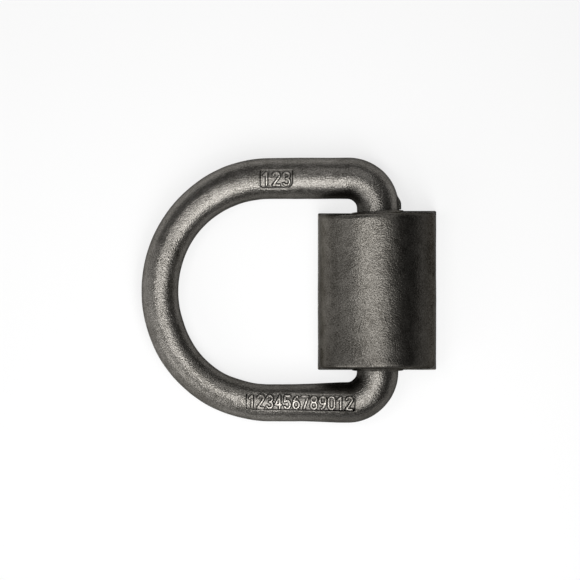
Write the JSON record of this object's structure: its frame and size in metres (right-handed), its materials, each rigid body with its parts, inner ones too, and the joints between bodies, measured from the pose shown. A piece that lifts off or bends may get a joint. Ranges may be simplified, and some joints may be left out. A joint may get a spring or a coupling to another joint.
{
  "type": "weld-on lashing d-ring",
  "caption": "Forged D-shaped lashing ring whose straight bar swings under a half-round weld-on bracket.",
  "frame": {"origin": "centre of the bracket's footprint, on the plane that its two feet are welded to", "axes": "+Z away from that plane, Y along the ring's bar, the ring lying flat towards -X"},
  "size_m": [0.1216, 0.1094, 0.0283],
  "materials": {
    "ring_steel": "forged carbon steel, shot-blasted, self-coloured dark grey, unpainted",
    "bracket_steel": "forged carbon steel, shot-blasted, self-coloured dark grey, unpainted, ready to weld"
  },
  "bodies": {
    "bracket": {"weld_bracket": "bracket_steel"},
    "ring": {"d_ring": "ring_steel"}
  },
  "joints": [
    {"name": "ring_swing", "type": "hinge", "parent": "bracket", "child": "ring", "pos_m": [0, 0, 0.0083], "axis": [0, 1, 0], "range_deg": [0, 180]}
  ]
}
